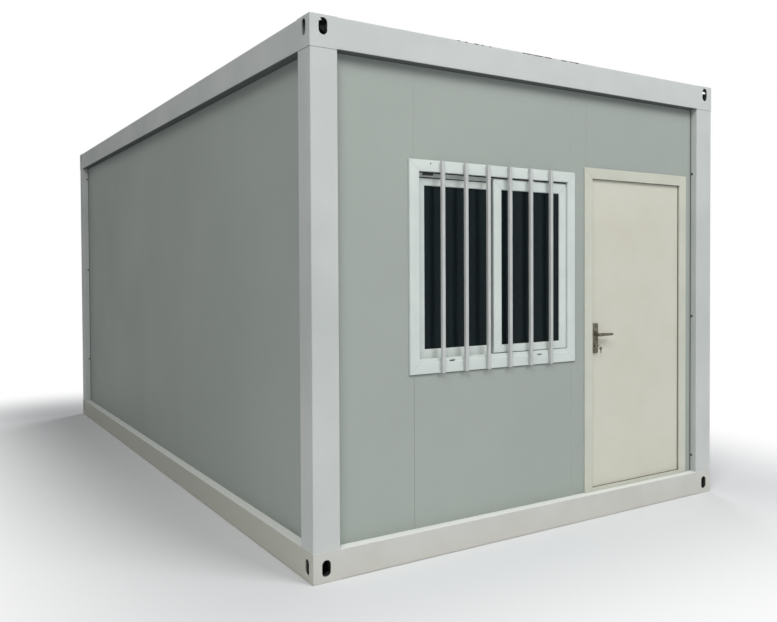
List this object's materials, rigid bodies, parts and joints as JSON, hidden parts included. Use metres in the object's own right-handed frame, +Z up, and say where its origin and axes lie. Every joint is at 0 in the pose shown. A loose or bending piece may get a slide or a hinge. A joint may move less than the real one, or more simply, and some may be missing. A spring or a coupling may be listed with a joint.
{
  "type": "flat pack prefab cabin",
  "caption": "Flat-pack prefab cabin: bolted steel frame with slotted corner fittings, sandwich panel walls, barred sliding window and a hinged door with a lever lock.",
  "frame": {"origin": "centre of the footprint at ground level, under the base beams", "axes": "+Z up, +Y from the front with the door towards the back, +X to the right as seen from the front"},
  "size_m": [3, 5.95, 2.8],
  "materials": {
    "frame_paint": "satin light grey paint on cold-formed steel",
    "panel_paint": "smooth satin grey coated steel skin of a sandwich panel",
    "roof_steel": "pre-painted ribbed steel sheet",
    "ceiling_steel": "white pre-painted steel boards",
    "galvanised_steel": "dull galvanised steel",
    "floor_board": "grey-brown covered floor board",
    "window_plastic": "white extruded PVC-U",
    "window_glass": "clear float glass, dark room behind",
    "bar_paint": "light grey painted square tube",
    "door_frame_paint": "off-white painted pressed steel",
    "door_paint": "ivory painted steel skin",
    "hinge_steel": "zinc-plated steel",
    "lock_bronze": "dark bronze lacquered lock set"
  },
  "bodies": {
    "building": {"base_corner_front_left": "frame_paint", "base_corner_front_right": "frame_paint", "base_corner_back_right": "frame_paint", "base_corner_back_left": "frame_paint", "base_beam_front": "frame_paint", "base_beam_right": "frame_paint", "base_beam_back": "frame_paint", "base_beam_left": "frame_paint", "corner_post_front_left": "frame_paint", "corner_post_front_right": "frame_paint", "corner_post_back_right": "frame_paint", "corner_post_back_left": "frame_paint", "roof_corner_front_left": "frame_paint", "roof_corner_front_right": "frame_paint", "roof_corner_back_right": "frame_paint", "roof_corner_back_left": "frame_paint", "roof_beam_front": "frame_paint", "roof_beam_right": "frame_paint", "roof_beam_back": "frame_paint", "roof_beam_left": "frame_paint", "floor_joists": "galvanised_steel", "floor_board": "floor_board", "roof_sheet": "roof_steel", "ceiling": "ceiling_steel", "left_wall": "panel_paint", "right_wall": "panel_paint", "back_wall": "panel_paint", "front_wall_left": "panel_paint", "front_wall_under_window": "panel_paint", "front_wall_over_window": "panel_paint", "front_wall_middle": "panel_paint", "front_wall_over_door": "panel_paint", "front_wall_right": "panel_paint", "window_frame": "window_plastic", "window_sashes": "window_plastic", "window_glass": "window_glass", "window_bars": "bar_paint", "door_jamb_left": "door_frame_paint", "door_jamb_right": "door_frame_paint", "door_head": "door_frame_paint", "door_threshold": "door_frame_paint", "door_hinge_pins": "hinge_steel"},
    "door": {"door_leaf": "door_paint", "door_hinge_flaps": "hinge_steel", "lock_plates": "lock_bronze"},
    "lever": {"door_lever": "lock_bronze"}
  },
  "joints": [
    {"name": "door_hinge", "type": "hinge", "parent": "building", "child": "door", "pos_m": [1.2335, -2.864, 1.1465], "axis": [0, 0, -1], "range_deg": [0, 90]},
    {"name": "lever_turn", "type": "hinge", "parent": "door", "child": "lever", "pos_m": [0.448, -2.894, 1.141], "axis": [0, 1, 0], "range_deg": [0, 45], "stiffness_Nm_per_rad": 2, "springref_deg": -20.05}
  ]
}
